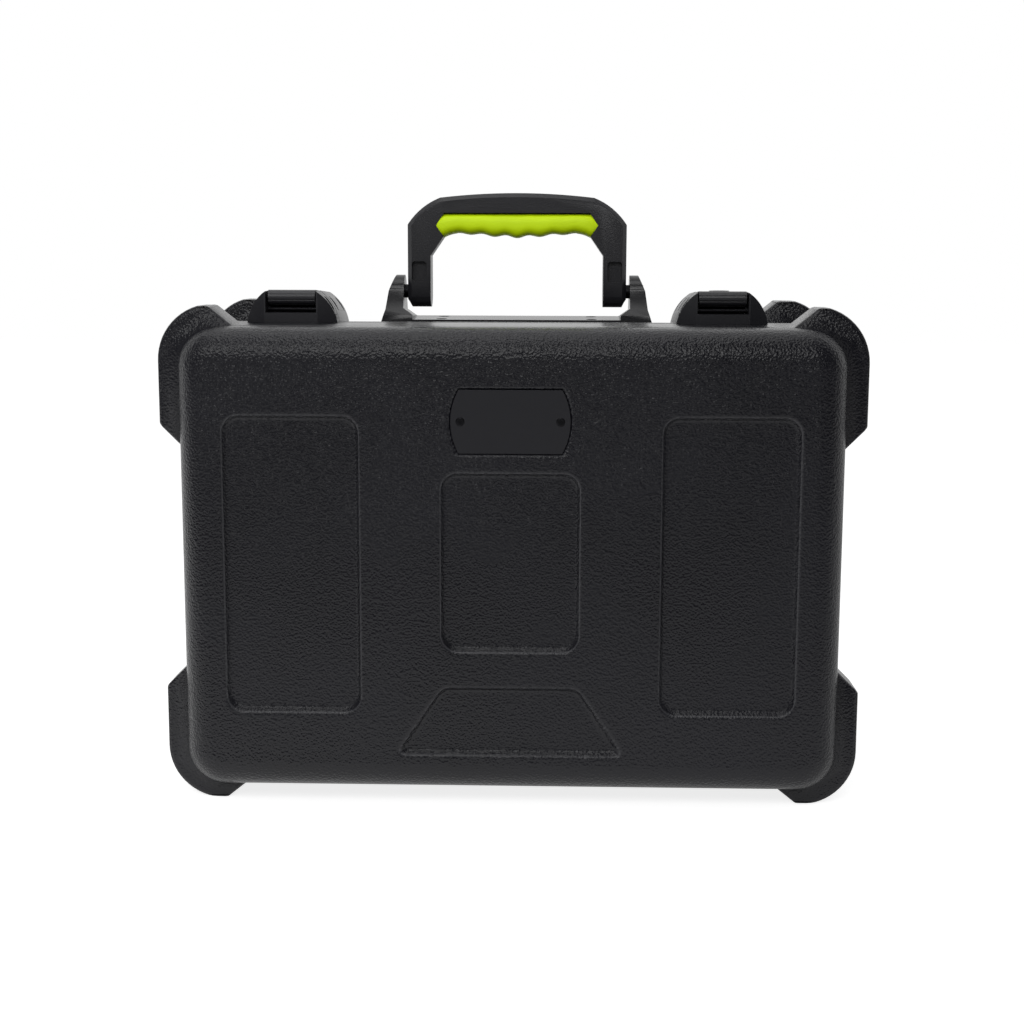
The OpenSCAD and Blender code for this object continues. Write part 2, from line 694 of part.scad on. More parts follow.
// `ring_rise` is how far the lock's ring stands above the lever.
module lever(ring_rise) difference() {
  union() {
    rotate([90, 0, 90]) linear_extrude(lever_w, center = true) lever_section();
    translate([0, plug_y, latch_h - lever_t - 4]) cylinder(r = lock_ring_r, h = lever_t + 4 + ring_rise);
  }
  translate([0, plug_y, 0]) cylinder(d = plug_d + 2 * run_clearance, h = latch_h + 5);
  translate([0, pivot_y, pivot_z]) rotate([0, 90, 0])
    cylinder(d = lever_pin_d + 2 * run_clearance, h = lever_w + 2, center = true);
}
module latch_lever_left() color([0.15, 0.15, 0.16]) on_base_top(latch_at[0]) lever(left_ring_rise);
module latch_lever_right() color([0.15, 0.15, 0.16]) on_base_top(latch_at[1]) lever(right_ring_rise);

// Round key plug with a keyway above and a locking tail below.
module lock_plug(ring_rise) translate([0, plug_y, 0]) difference() {
  top = latch_h + ring_rise - 0.3;
  low = latch_h - lever_t - 4 - free_gap;
  union() {
    translate([0, 0, low - 2]) cylinder(d = plug_d, h = top - low + 2);
    translate([-plug_d / 2 - 2, -2.5, low - 2]) cube([plug_d + 4, 5, 2]);
  }
  translate([-0.8, -plug_d * 0.32, top - 3]) cube([1.6, plug_d * 0.64, 4]);
}
module lock_plug_left() color([0.55, 0.55, 0.56]) on_base_top(latch_at[0]) lock_plug(left_ring_rise);
module lock_plug_right() color([0.55, 0.55, 0.56]) on_base_top(latch_at[1]) lock_plug(right_ring_rise);

// ---------- handle ----------

// Front view of one ear, standing on the bracket plate.
module ear_front() polygon([
  [ear_in - 7, 0], [ear_in - 7, bracket_t], [ear_in, bracket_t + 5], [ear_in, handle_z + ear_r],
  [ear_in + ear_top_w, handle_z + ear_r], [ear_in + ear_top_w + 5, handle_z],
  [ear_in + ear_foot_w - 3, bracket_t + 4], [ear_in + ear_foot_w, 0]
]);

// Side view of one ear: a round boss on a spreading foot.
module ear_side() {
  translate([0, handle_z]) circle(ear_r);
  hw = bracket_len / 2;
  polygon([[-hw, 0], [hw, 0], [hw, bracket_t], [ear_r, handle_z], [-ear_r, handle_z], [-hw, bracket_t]]);
}

module bracket_screw_places()
  for (x = [-1, 1], y = [-1, 1])
    translate([x * (ear_in - bracket_screw_in), handle_y + y * bracket_len * 0.3, 0]) children();

module handle_bracket() color([0.12, 0.12, 0.13]) on_base_top() difference() {
  union() {
    translate([-ear_in, handle_y, 0]) rotate([90, 0, 90]) linear_extrude(2 * ear_in) polygon([
      [-bracket_len / 2, 0], [bracket_len / 2, 0], [bracket_len / 2, bracket_t], [-bracket_len / 2, bracket_front_t]
    ]);
    for (side = [0, 1]) mirror([side, 0, 0]) intersection() {
      translate([0, handle_y + bracket_len, 0]) rotate([90, 0, 0]) linear_extrude(2 * bracket_len) ear_front();
      translate([0, handle_y, 0]) rotate([90, 0, 90]) linear_extrude(ear_in + ear_foot_w + 1) ear_side();
    }
  }
  pivot_in_bracket()
    cylinder(d = handle_pin_d + 2 * fastener_clearance, h = 2 * (ear_in + ear_foot_w) + 2, center = true);
  bracket_screw_places() {
    translate([0, 0, -1]) cylinder(d = bracket_screw_d + 2 * fastener_clearance, h = bracket_t + 2);
    translate([0, 0, bracket_seat]) cylinder(d = bracket_screw_d * 2, h = bracket_t);
  }
}

module pivot_in_bracket() translate([0, handle_y, handle_z]) rotate([0, 90, 0]) children();

module bracket_screws() color([0.2, 0.2, 0.2]) on_base_top() bracket_screw_places() difference() {
  union() {
    translate([0, 0, -wall]) cylinder(d = bracket_screw_d, h = wall + bracket_seat + 0.5);
    translate([0, 0, bracket_seat]) cylinder(d = bracket_screw_d * 1.8, h = 1.2);
  }
  for (a = [0, 90]) rotate(a) translate([-1.6, -0.4, bracket_seat + 0.6]) cube([3.2, 0.8, 2]);
}

module handle_pins() color([0.1, 0.1, 0.1]) on_base_top() for (side = [0, 1]) mirror([side, 0, 0])
  translate([handle_w / 2 - leg_w + leg_skin, handle_y, handle_z]) rotate([0, 90, 0])
    cylinder(d = handle_pin_d, h = leg_w - leg_skin + ear_gap + ear_top_w + 4);

// One layer of the handle's solid outline, lying in the plane of its front view, whose
// outer edges lean in by `inset` over its thickness.
module handle_layer(t, inset) {
  half = handle_w / 2;
  shoulder_x = half - shoulder_r + 8;
  intersection() {
    union() {
      translate([-half, 0, 0]) cube([handle_w, handle_rise - shoulder_r, t]);
      translate([-shoulder_x, 0, 0]) cube([2 * shoulder_x, handle_rise, t]);
      for (side = [-1, 1]) translate([side * shoulder_x, handle_rise - shoulder_r, 0])
        cylinder(r1 = shoulder_r, r2 = shoulder_r - inset, h = t, $fn = 128);
      for (side = [0, 1]) mirror([side, 0, 0]) linear_extrude(t) polygon([
        [half - leg_w, 1], [half - leg_w, -leg_foot * 0.3], [half - leg_w + 3.5, -leg_foot],
        [half - 3, -leg_foot], [half, -leg_foot * 0.35], [half, 1]
      ]);
    }
    translate([0, handle_rise - crown_r, 0]) cylinder(r1 = crown_r, r2 = crown_r - inset, h = t, $fn = 900);
    translate([0, handle_rise + 1, 0]) rotate([90, 0, 0]) linear_extrude(handle_rise + leg_foot + 2)
      polygon([[-half, 0], [half, 0], [half - inset, t], [-half + inset, t]]);
  }
}

// The handle's solid outline with chamfered outer edges.
module handle_blank() for (face = [0, 1]) mirror([0, 0, face]) {
  handle_layer(handle_t / 2 - handle_chamfer, 0);
  translate([0, 0, handle_t / 2 - handle_chamfer]) handle_layer(handle_chamfer, handle_chamfer);
}

// Open space between the legs, up to the underside of the top band.
module handle_window() {
  inner = handle_w / 2 - leg_w;
  polygon([
    [-inner, -leg_foot - 1], [inner, -leg_foot - 1], [inner, bar_low - corner_drop],
    [grip_end, grip_low - lobe_drop], [grip_len / 2, bar_low - 9], [grip_len / 2 - 6, bar_low],
    [-grip_len / 2 + 6, bar_low], [-grip_len / 2, bar_low - 9], [-grip_end, grip_low - lobe_drop],
    [-inner, bar_low - corner_drop]
  ]);
}

module at_handle() translate([0, seam_y, mid_z + body_h / 2]) rotate([-base_draft, 0, 0])
  translate([0, handle_y, handle_z]) rotate([base_draft, 0, 0]) children();

module handle_frame() color([0.12, 0.12, 0.13]) at_handle() difference() {
  intersection() {
    rotate([90, 0, 0]) handle_blank();
    union() {
      rotate([0, 90, 0]) cylinder(r = leg_foot, h = handle_w + 2, center = true, $fn = 96);
      translate([-handle_w / 2 - 1, -handle_t / 2 - 1, 0]) cube([handle_w + 2, handle_t + 2, handle_rise + 1]);
    }
  }
  rotate([90, 0, 0]) linear_extrude(handle_t + 2, center = true) handle_window();
  for (side = [0, 1]) mirror([side, 0, 0]) {
    translate([handle_w / 2 - leg_w + leg_skin - 0.5, 0, 0]) rotate([0, 90, 0])
      cylinder(d = handle_pin_d + 2 * run_clearance, h = leg_w);
    for (face = [-1, 1]) translate([(handle_w - leg_w) / 2, face * handle_t / 2, window_rise])
      rotate([90, 0, 0]) translate([0, 0, -window_depth])
        rounded_slab(window_w, window_h, 2.5, 2 * window_depth);
  }
}

// One finger bump in the grip's front view; k counts out from the middle.
module finger_bump(k) {
  sag = bump_drop - bump_step * abs(k);
  translate([k * bump_pitch, grip_low - sag]) intersection() {
    translate([0, bump_r]) circle(bump_r, $fn = 256);
    translate([-bump_r, 0]) square([2 * bump_r, sag + 2]);
  }
}

// Grip insert with a row of finger bumps along its underside.
module handle_grip() color([0.76, 0.88, 0.05]) at_handle() rotate([90, 0, 0]) {
  linear_extrude(handle_t + 3, center = true) polygon([
    [-grip_len / 2 + 6, bar_low], [grip_len / 2 - 6, bar_low], [grip_len / 2, bar_low - 9],
    [grip_end, grip_low - lobe_drop], [grip_end - lobe_len * 0.45, grip_low - lobe_drop * 0.4],
    [grip_end - lobe_len, grip_low], [lobe_len - grip_end, grip_low],
    [lobe_len * 0.45 - grip_end, grip_low - lobe_drop * 0.4], [-grip_end, grip_low - lobe_drop],
    [-grip_len / 2, bar_low - 9]
  ]);
  for (i = [0 : bump_count - 1])
    linear_extrude(handle_t + 3, center = true) finger_bump(i - (bump_count - 1) / 2);
}

// ---------- hinges ----------

// One leaf with its knuckles; `first` picks the odd or even knuckles.
module hinge_leaf(side, first) difference() {
  union() {
    translate([-hinge_w / 2, side < 0 ? seam_y - leaf_len : seam_y + free_gap, leaf_z])
      cube([hinge_w, leaf_len - free_gap, leaf_t]);
    for (k = [first : 2 : knuckles - 1]) {
      x0 = -hinge_w / 2 + k * knuckle_w + knuckle_gap / 2;
      w = knuckle_w - knuckle_gap;
      translate([x0, seam_y, hinge_z]) rotate([0, 90, 0]) cylinder(d = knuckle_d, h = w);
      translate([x0, side < 0 ? seam_y - knuckle_d / 2 : seam_y, hinge_z])
        cube([w, knuckle_d / 2, knuckle_d / 2 + leaf_t]);
    }
  }
  translate([0, seam_y, hinge_z]) rotate([0, 90, 0])
    cylinder(d = hinge_pin_d + 2 * run_clearance, h = hinge_w + 2, center = true);
  for (k = [-1, 0, 1]) translate([k * hinge_w * 0.36, seam_y + side * leaf_len * 0.62, 0])
    cylinder(d = rivet_d + 2 * fastener_clearance, h = bumper_top + 20);
}
module hinge_base_leaf_left() color([0.35, 0.35, 0.36]) translate([-hinge_x, 0, 0]) hinge_leaf(1, 0);
module hinge_base_leaf_right() color([0.35, 0.35, 0.36]) translate([hinge_x, 0, 0]) hinge_leaf(1, 0);
module hinge_lid_leaf_left() color([0.35, 0.35, 0.36]) translate([-hinge_x, 0, 0]) hinge_leaf(-1, 1);
module hinge_lid_leaf_right() color([0.35, 0.35, 0.36]) translate([hinge_x, 0, 0]) hinge_leaf(-1, 1);

module hinge_pin() translate([0, seam_y, hinge_z]) rotate([0, 90, 0])
  cylinder(d = hinge_pin_d, h = hinge_w + 1, center = true);
module hinge_pin_left() color([0.6, 0.6, 0.6]) translate([-hinge_x, 0, 0]) hinge_pin();
module hinge_pin_right() color([0.6, 0.6, 0.6]) translate([hinge_x, 0, 0]) hinge_pin();

// Rivet from below: domed head under the leaf, shank through leaf and wall.
module rivet(side) {
  inner = bumper_top + wall + (side > 0 ? leaf_len * 0.62 * tan(base_draft) : leaf_len * 0.62 * tan(lid_draft));
  translate([0, 0, leaf_z - 1.2]) cylinder(d1 = rivet_d * 1.3, d2 = rivet_d * 2, h = 1.2);
  translate([0, 0, leaf_z - 0.2]) cylinder(d = rivet_d, h = inner - leaf_z + 0.2);
}
module base_rivets() color([0.5, 0.5, 0.5]) rivet_places(1) rivet(1);
module lid_rivets() color([0.5, 0.5, 0.5]) rivet_places(-1) rivet(-1);

base_shell();
lid_shell();
base_foam();
lid_foam();
name_plate();
plate_screws();
keeper_left();
keeper_right();
keeper_bar_left();
keeper_bar_right();
keeper_screws();
latch_housing_left();
latch_housing_right();
housing_screws();
latch_lever_left();
latch_lever_right();
lever_pin_left();
lever_pin_right();
lock_plug_left();
lock_plug_right();
handle_bracket();
bracket_screws();
handle_pins();
handle_frame();
handle_grip();
hinge_base_leaf_left();
hinge_base_leaf_right();
hinge_lid_leaf_left();
hinge_lid_leaf_right();
hinge_pin_left();
hinge_pin_right();
base_rivets();
lid_rivets();
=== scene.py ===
"""Looks of the moulded microphone case, built round the fixed frame of its solids.

Axes are the frame's own: +X to the right, -Y out of the lid's face, +Z up. Lengths are millimetres and are
divided by 1000 where they meet Blender's metres. Only the camera and the studio are in metres.
"""
import json
import math

import bmesh
import bpy
import numpy as np
from mathutils import Matrix, Vector


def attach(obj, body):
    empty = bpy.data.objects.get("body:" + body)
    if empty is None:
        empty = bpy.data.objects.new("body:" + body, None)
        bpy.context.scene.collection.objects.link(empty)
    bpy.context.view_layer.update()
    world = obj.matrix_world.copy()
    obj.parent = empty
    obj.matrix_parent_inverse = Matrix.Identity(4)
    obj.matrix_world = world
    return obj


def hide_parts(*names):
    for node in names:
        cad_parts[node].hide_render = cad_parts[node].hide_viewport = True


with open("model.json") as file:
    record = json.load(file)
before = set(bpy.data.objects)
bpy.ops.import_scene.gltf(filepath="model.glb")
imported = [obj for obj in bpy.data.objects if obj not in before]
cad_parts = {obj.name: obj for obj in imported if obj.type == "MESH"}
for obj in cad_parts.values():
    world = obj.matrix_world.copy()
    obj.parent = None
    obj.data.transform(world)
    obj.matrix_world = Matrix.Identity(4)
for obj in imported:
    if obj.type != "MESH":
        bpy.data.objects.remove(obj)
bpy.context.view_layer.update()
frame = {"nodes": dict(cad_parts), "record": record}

# ---------- camera ----------


CAMERA_PLACE_M = (0.0318, -1.1928, 0.374)
CAMERA_TURN_DEG = (-1.63, -8.87, 0.171)
CAMERA_LENS_MM = 57.84


def studio_camera():
    """Pinhole view of the photograph: a place, a forward direction from yaw and pitch, and a slight roll."""
    yaw, pitch, roll = (math.radians(turn) for turn in CAMERA_TURN_DEG)
    forward = Vector((math.sin(yaw) * math.cos(pitch), math.cos(yaw) * math.cos(pitch), math.sin(pitch)))
    right = Vector((math.cos(yaw), -math.sin(yaw), 0))
    up = right.cross(forward)
    right, up = (math.cos(roll) * right + math.sin(roll) * up, math.cos(roll) * up - math.sin(roll) * right)
    data = bpy.data.cameras.new("camera")
    data.sensor_width = 36
    data.lens = CAMERA_LENS_MM
    data.clip_end = 50
    camera = bpy.data.objects.new("camera", data)
    turned = Matrix((right, up, -forward)).transposed().to_4x4()
    camera.matrix_world = Matrix.Translation(CAMERA_PLACE_M) @ turned
    bpy.context.scene.collection.objects.link(camera)
    bpy.context.scene.camera = camera


studio_camera()
bpy.context.scene.view_settings.view_transform = "Standard"

# ---------- materials ----------


def new_material(name):
    """A material, its node tree and the shader in it."""
    material = bpy.data.materials.new(name)
    material.use_nodes = True
    tree = material.node_tree
    return material, tree, tree.nodes["Principled BSDF"]


def ramp(tree, source, low, high, low_at=0.3, high_at=0.7):
    """Turns a value's run from low_at to high_at into a run from low to high."""
    node = tree.nodes.new("ShaderNodeMapRange")
    node.inputs["From Min"].default_value = low_at
    node.inputs["From Max"].default_value = high_at
    node.inputs["To Min"].default_value = low
    node.inputs["To Max"].default_value = high
    tree.links.new(source, node.inputs["Value"])
    return node.outputs["Result"]


def calculated(tree, operation, first, second):
    """Two values put together by one of the Math node's operations; the second may be a plain number."""
    node = tree.nodes.new("ShaderNodeMath")
    node.operation = operation
    tree.links.new(first, node.inputs[0])
    if isinstance(second, float):
        node.inputs[1].default_value = second
    else:
        tree.links.new(second, node.inputs[1])
    return node.outputs[0]


def place(tree):
    """Places on the object, in its own metres."""
    return tree.nodes.new("ShaderNodeTexCoord").outputs["Object"]


def noise(tree, at, scale, detail=2.0, rough=0.5):
    """Soft random pattern, 0 to 1, with about `scale` swells in a metre."""
    node = tree.nodes.new("ShaderNodeTexNoise")
    node.inputs["Scale"].default_value = scale
    node.inputs["Detail"].default_value = detail
    node.inputs["Roughness"].default_value = rough
    tree.links.new(at, node.inputs["Vector"])
    return node.outputs["Fac"]


def pebbles(tree, at, scale):
    """Rounded cells: the smooth distance to the nearest of scattered points."""
    node = tree.nodes.new("ShaderNodeTexVoronoi")
    node.feature = "SMOOTH_F1"
    node.inputs["Scale"].default_value = scale
    node.inputs["Smoothness"].default_value = 0.6
    tree.links.new(at, node.inputs["Vector"])
    return node.outputs["Distance"]


def two_tone(tree, pattern, dark, light):
    """Colour that goes from dark to light as the pattern goes from 0 to 1."""
    node = tree.nodes.new("ShaderNodeMix")
    node.data_type = "RGBA"
    node.inputs["A"].default_value = (*dark, 1)
    node.inputs["B"].default_value = (*light, 1)
    tree.links.new(pattern, node.inputs["Factor"])
    return node.outputs["Result"]


def bump(tree, height, depth_mm, below=None):
    """Relief of a pattern as deep as depth_mm, laid on another relief."""
    node = tree.nodes.new("ShaderNodeBump")
    node.inputs["Distance"].default_value = depth_mm / 1000
    node.inputs["Strength"].default_value = 1.0
    tree.links.new(height, node.inputs["Height"])
    if below is not None:
        tree.links.new(below, node.inputs["Normal"])
    return node.outputs["Normal"]


# painted highlight: the lighter colour laid on the hollows' rims as their thin lines of light
RIM_HIGHLIGHT_COLOUR = (0.06, 0.06, 0.066)
HAND_SCALE = 9
ROLLING, GRIT = 0.8, 0.12


def grained_plastic(name, colour, pebble_mm=1.5, depth=0.38, rough=(0.23, 0.3), specular=0.38):
    """Moulded plastic with a spark-eroded pebble grain: round cells of uneven height, a finer grit on them,
    faint mottling, and a slow unevenness of colour and shine over the width of a hand. Where a mesh has an
    attribute "rim", its rims take a lighter colour, in place of the photograph's thin lines of light."""
    material, tree, shader = new_material(name)
    at = place(tree)
    slow = noise(tree, at, HAND_SCALE, 3)
    cells = pebbles(tree, at, 1000 / pebble_mm)
    rolling = noise(tree, at, 800 / pebble_mm, 2, 0.6)
    fine = noise(tree, at, 2600 / pebble_mm, 2)
    lift = tuple(1.5 * c + 0.0008 for c in colour)
    # the attribute "rim" marks where the painted highlight colour goes
    rim = tree.nodes.new("ShaderNodeAttribute")
    rim.attribute_name = "rim"
    with_rim_highlights = two_tone(tree, rim.outputs["Fac"], colour, RIM_HIGHLIGHT_COLOUR)
    tree.links.new(two_tone(tree, ramp(tree, slow, 0, 1), colour, lift), with_rim_highlights.node.inputs["A"])
    tree.links.new(with_rim_highlights, shader.inputs["Base Color"])
    tree.links.new(ramp(tree, slow, *rough), shader.inputs["Roughness"])
    under = bump(tree, rolling, depth * ROLLING, bump(tree, fine, depth * GRIT))
    grain = bump(tree, cells, depth, under)
    tree.links.new(grain, shader.inputs["Normal"])
    shader.inputs["Specular IOR Level"].default_value = specular
    return material


def metal(name, colour, rough=(0.25, 0.4), grain_mm=0.5, depth=0.006):
    """Metal with fine random tooling marks."""
    material, tree, shader = new_material(name)
    at = place(tree)
    marks = noise(tree, at, 1000 / grain_mm, 4, 0.65)
    tree.links.new(ramp(tree, marks, *rough), shader.inputs["Roughness"])
    dark = tuple(0.8 * c for c in colour)
    tree.links.new(two_tone(tree, marks, dark, colour), shader.inputs["Base Color"])
    tree.links.new(bump(tree, marks, depth), shader.inputs["Normal"])
    shader.inputs["Metallic"].default_value = 1.0
    return material


def foam_stuff(name, colour, cell_mm=0.9):
    """Open-cell foam: dark pits between rough cell walls, no shine."""
    material, tree, shader = new_material(name)
    at = place(tree)
    cells = pebbles(tree, at, 1000 / cell_mm)
    fine = noise(tree, at, 3200, 3, 0.7)
    lift = tuple(2.0 * c + 0.01 for c in colour)
    tree.links.new(two_tone(tree, ramp(tree, fine, 0, 1), colour, lift), shader.inputs["Base Color"])
    tree.links.new(bump(tree, cells, 0.5, bump(tree, fine, 0.25)), shader.inputs["Normal"])
    shader.inputs["Roughness"].default_value = 0.95
    shader.inputs["Specular IOR Level"].default_value = 0.15
    return material


BLACK = (0.0045, 0.0045, 0.007)
SHELL = grained_plastic("grained_shell_plastic", BLACK)
FITTING = grained_plastic("fine_grained_fitting_plastic", (0.013, 0.013, 0.0155), 0.9, 0.05, (0.28, 0.36),
                          0.5)
HANDLE = grained_plastic("grained_handle_plastic", (0.012, 0.012, 0.0145), 1.0, 0.06, (0.3, 0.38), 0.5)
BRACKET = grained_plastic("smooth_bracket_plastic", (0.008, 0.008, 0.0095), 0.7, 0.02, (0.24, 0.3), 0.5)
GRIP = grained_plastic("lime_grip_rubber", (0.54, 0.75, 0.0), 0.6, 0.02, (0.42, 0.52), 0.3)
PLATE = metal("dark_satin_plate", (0.05, 0.05, 0.055), (0.38, 0.5), 0.4, 0.004)
DARK_STEEL = metal("blackened_steel", (0.02, 0.02, 0.022), (0.35, 0.5))
BRIGHT_STEEL = metal("drawn_steel", (0.56, 0.56, 0.57), (0.18, 0.32))
LOCK_METAL = metal("turned_lock_metal", (0.4, 0.4, 0.41), (0.2, 0.35))
HINGE = metal("black_hinge_metal", (0.06, 0.06, 0.063), (0.35, 0.5))
RIVET = metal("rivet_metal", (0.5, 0.5, 0.51), (0.25, 0.4))
FOAM = foam_stuff("charcoal_foam", (0.012, 0.012, 0.013))

# ---------- meshes from points ----------


def as_mesh(name, points, faces):
    """A mesh from points in millimetres and lists of corners."""
    mesh = bpy.data.meshes.new(name)
    mesh.from_pydata((points / 1000).tolist(), [], faces)
    return mesh


def sheet_faces(rows, columns, around=False):
    """Quads of a grid of rows by columns; `around` joins the last column to the first."""
    index = np.arange(rows * columns).reshape(rows, columns)
    if around:
        index = np.hstack([index, index[:, :1]])
    return np.stack([index[:-1, :-1], index[:-1, 1:], index[1:, 1:], index[1:, :-1]], -1).reshape(-1, 4)


# ---------- pieces made from the solids ----------


def merged_copy(node):
    """A working copy of a solid's mesh with doubles merged and flat areas joined."""
    work = bmesh.new()
    work.from_mesh(frame["nodes"][node].data)
    bmesh.ops.remove_doubles(work, verts=work.verts, dist=1e-6)
    bmesh.ops.dissolve_limit(work, angle_limit=math.radians(0.6), verts=work.verts, edges=work.edges)
    return work


def finished(name, mesh, material, body, slot, *stands_for):
    """Puts a mesh into the scene as a piece that rides on a body and stands for its solids."""
    mesh.materials.append(material)
    mesh.polygons.foreach_set("use_smooth", np.ones(len(mesh.polygons), bool))
    piece = bpy.data.objects.new(name, mesh)
    bpy.context.scene.collection.objects.link(piece)
    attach(piece, body)
    if stands_for:
        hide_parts(*stands_for)
    return piece


EDGE_ANGLE = math.radians(28)


def round_edges(piece, width_mm, segments=2, by_weight=False):
    """Rounds a piece's sharp edges, or only those that have a bevel weight."""
    rounding = piece.modifiers.new("rounding", "BEVEL")
    rounding.width = width_mm / 1000
    rounding.segments = segments
    rounding.limit_method = "WEIGHT" if by_weight else "ANGLE"
    rounding.angle_limit = EDGE_ANGLE
    rounding.use_clamp_overlap = not by_weight
    rounding.harden_normals = True


def written_out(work, name):
    """A mesh from a working copy, which is let go."""
    mesh = bpy.data.meshes.new(name)
    work.to_mesh(mesh)
    work.free()
    return mesh


def softened(node, body, slot, material, width_mm):
    """The solid's own surface with its edges rounded off."""
    mesh = written_out(merged_copy(node), node + "_mesh")
    piece = finished(node + "_finished", mesh, material, body, slot, node)
    mesh.set_sharp_from_angle(angle=EDGE_ANGLE)
    round_edges(piece, width_mm)
    return piece


bodies = frame["record"]["behaviour"]["bodies"]
body_of = {node: body for body, nodes in bodies.items() for node in nodes}
slot_of = {part["node"]: part["material_slot"] for part in frame["record"]["subparts"]}
# a slot's material, and the width in millimetres of the rounding of its edges
finish_of = {
    "latch_plastic": (FITTING, 0.6), "handle_plastic": (HANDLE, 1.2), "plate_metal": (PLATE, 0.2),
    "dark_steel": (DARK_STEEL, 0.15), "bright_steel": (BRIGHT_STEEL, 0.3), "lock_metal": (LOCK_METAL, 0.2),
    "hinge_metal": (HINGE, 0.25), "rivet_metal": (RIVET, 0.2), "foam": (FOAM, 2.0),
    "pivot_steel": (DARK_STEEL, 0.5),
}
modelled_below = {"handle_grip", "lid_shell", "base_shell", "lid_foam"}
for node in sorted(set(body_of) - modelled_below):
    # the keeper bars show nearly black in the photograph, so they take the dark steel
    slot = "dark_steel" if node.startswith("keeper_bar") else slot_of[node]
    material, width = finish_of[slot]
    material = BRACKET if node == "handle_bracket" else material
    piece = softened(node, body_of[node], slot, material, width)

# ---------- shells ----------

# heights in this section are counted from the middle of the shells
MID_Z, WALL_TOP, WALL_SIDE, WALL_CORNER = 170.0, 158.0, 223.0, 28.0
FACE_Y = 120.0
LID_DEPTH, LID_DRAFT, LID_ROLL = 80, 1, 20
BASE_DEPTH, BASE_DRAFT, BASE_ROLL = 160, 2.5, 16

RECESS, BEVEL, HOLLOW_CORNER = 4.0, 3.0, 12
SIDE_HOLLOW_X, SIDE_HOLLOW_Z, SIDE_HOLLOW_W, SIDE_HOLLOW_H = 145.5, -1, 46, 101
MID_HOLLOW_Z, MID_HOLLOW_W, MID_HOLLOW_H = 1.5, 46.75, 61
TAPER_Z, TAPER_LOW, TAPER_TOP, TAPER_HEIGHT = 27 - WALL_TOP, 78, 46, 48
TAPER_LOW_CORNER, TAPER_TOP_CORNER = 7, 5
PLATE_Z, PLATE_HALF_H, PLATE_BOW, PLATE_BOW_IN = 96, 21.6, 43.44, 3.34
SEAT_DEPTH, SEAT_ROOM, SEAT_RUN, SEAT_ROUND = 2.2, 0.8, 0.9, 0.3

# places of the hollows' edges across and up the face, where the grid is finer
ACROSS = (-189.5, -101.5, -44.75, 44.75, 101.5, 189.5)
UP = (-129, -100, -85, -57.5, 60.5, 74, 98, 117.5)
CROWDING, CROWD_WIDTH = 2.2, 6.0
LID_STEP, REAR_STEP = 1.12, 2.0

# depth into a hollow's step, and spread, of the painted highlight line along its rim
RIM_HIGHLIGHT_AT, RIM_HIGHLIGHT_WIDTH = 0.8, 0.33
BUMPER_ROUND, BUMPER_SEGMENTS = 1.6, 3
CLEAR_OF_WALL = 0.6


def half_reach(depth, draft, roll):
    """Half width and half height of a shell's flat face, where its rolled edge begins, and the radius of
    that line's corners."""
    lost = (depth - roll) * math.tan(math.radians(draft)) + roll
    return WALL_SIDE - lost, WALL_TOP - lost, WALL_CORNER - lost


def crowded(half, count, near):
    """Places from -half to half, about three times as close together around each value in `near`: the
    inverse of the running sum of 1 + CROWDING e^(-((t - c) / CROWD_WIDTH)^2) over the values c."""
    t = np.linspace(-half, half, 4001)
    density = 1 + CROWDING * sum((np.exp(-((t - c) / CROWD_WIDTH) ** 2) for c in near), np.zeros_like(t))
    total = np.concatenate([[0], np.cumsum((density[1:] + density[:-1]) / 2)])
    return np.interp(np.linspace(0, total[-1], count), total, t)


def rounded_field(half_w, half_h, corner, columns, rows):
    """Grid over a rectangle with round corners: in each corner's square of side `corner`, a point keeps its
    direction from the square's inner corner and its larger coordinate becomes its distance."""
    x, z = np.meshgrid(columns, rows)
    ox = np.maximum(np.abs(x) - (half_w - corner), 0)
    oz = np.maximum(np.abs(z) - (half_h - corner), 0)
    long_side = np.maximum(ox, oz)
    shrink = np.where((ox > 0) & (oz > 0), long_side / np.maximum(np.hypot(ox, oz), 1e-9), 1.0)
    x = np.sign(x) * (np.abs(x) - ox + ox * shrink)
    z = np.sign(z) * (np.abs(z) - oz + oz * shrink)
    return x, z


def inside_box(x, z, half_w, half_h, corner):
    """Distance inward from the edge of a round-cornered rectangle, negative outside it."""
    qx, qz = np.abs(x) - half_w + corner, np.abs(z) - half_h + corner
    return corner - np.hypot(np.maximum(qx, 0), np.maximum(qz, 0)) - np.minimum(np.maximum(qx, qz), 0)


def inside_trapezoid(x, z, low_half, top_half, height, low_corner, top_corner):
    """Distance inward from the edge of an upright trapezoid standing on z = 0, whose corners are rounded by
    a smooth least of its three edge distances."""
    slope = (low_half - top_half) / height
    side = (low_half - slope * z - np.abs(x)) / math.hypot(1, slope)

    def least(a, b, soft):
        blend = np.clip(0.5 + 0.5 * (b - a) / soft, 0, 1)
        return b + (a - b) * blend - soft * blend * (1 - blend)

    return least(least(side, z, low_corner), height - z, top_corner)


def soft_step(inward, depth=RECESS, run=BEVEL, round_mm=0.65):
    """Depth of a bevelled step: two smooth corners, each (a + root(a^2 + r^2)) / 2, one run apart."""
    def corner(a):
        return (a + np.sqrt(a * a + round_mm * round_mm)) / 2

    return depth * (corner(inward) - corner(inward - run)) / run


def inside_plate(x, z, room):
    """Distance inward from the name plate's outline: flat above and below, bowed at both ends."""
    return np.minimum(PLATE_HALF_H - np.abs(z), PLATE_BOW - np.hypot(np.abs(x) + PLATE_BOW_IN, z)) + room


def side_hollows(x, z):
    """Depth of the two tall hollows, which the lid's face and the rear face share."""
    def inward(side):
        x_in, z_in = x - side * SIDE_HOLLOW_X, z - SIDE_HOLLOW_Z
        return inside_box(x_in, z_in, SIDE_HOLLOW_W, SIDE_HOLLOW_H, HOLLOW_CORNER)

    return sum(soft_step(inward(side)) for side in (-1, 1))


